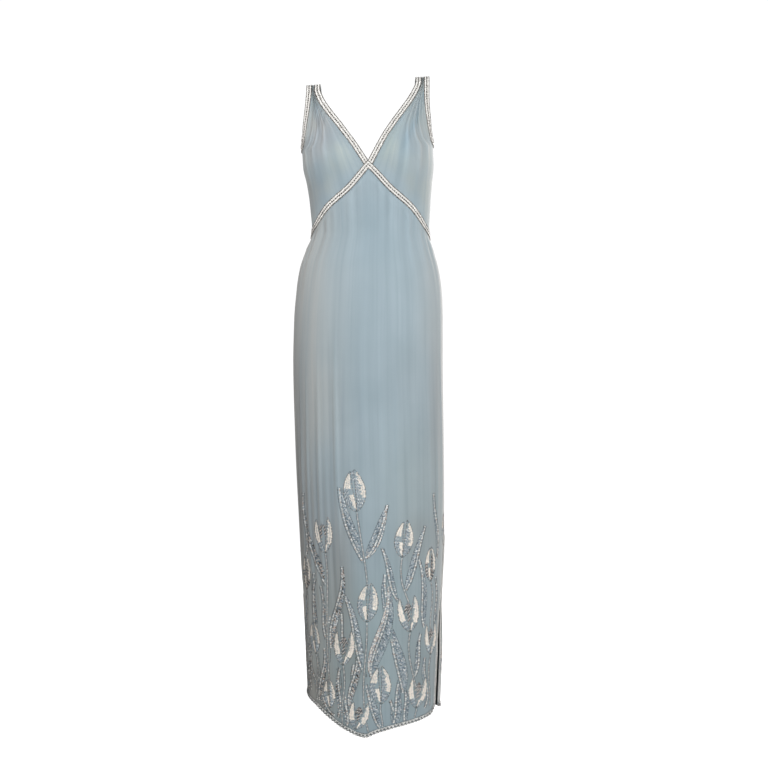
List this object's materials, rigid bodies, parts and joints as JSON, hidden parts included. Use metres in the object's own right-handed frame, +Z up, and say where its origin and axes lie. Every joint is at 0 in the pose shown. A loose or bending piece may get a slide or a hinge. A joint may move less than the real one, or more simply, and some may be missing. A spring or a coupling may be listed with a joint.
{
  "type": "floor-length sleeveless evening gown",
  "caption": "Hollow worn evening gown with a V neck, beaded bands, an empire waist, a side slit and a beaded flower border above the hem.",
  "frame": {"origin": "midway between the two shoulder straps, at the height of the shoulder seams, where the wearer's shoulders hold the gown", "axes": "+Z up along the wearer, +X to the wearer's left, -Y to the front"},
  "size_m": [0.3406, 0.2317, 1.458],
  "materials": {
    "chiffon": "pale dusty blue silk chiffon over an opaque ground, matt with a soft sheen",
    "beadwork": "ivory, silver and dark bronze glass beads sewn to cloth"
  },
  "bodies": {
    "root": {"front_bodice_left": "chiffon", "front_bodice_right": "chiffon", "back_bodice_left": "chiffon", "back_bodice_right": "chiffon", "front_skirt": "chiffon", "back_skirt_left": "chiffon", "back_skirt_right": "chiffon", "neck_band_left": "beadwork", "neck_band_right": "beadwork", "armhole_band_left": "beadwork", "armhole_band_right": "beadwork", "underbust_band": "beadwork", "hem_band": "beadwork", "slit_band_front": "beadwork", "slit_band_back": "beadwork"}
  },
  "joints": []
}
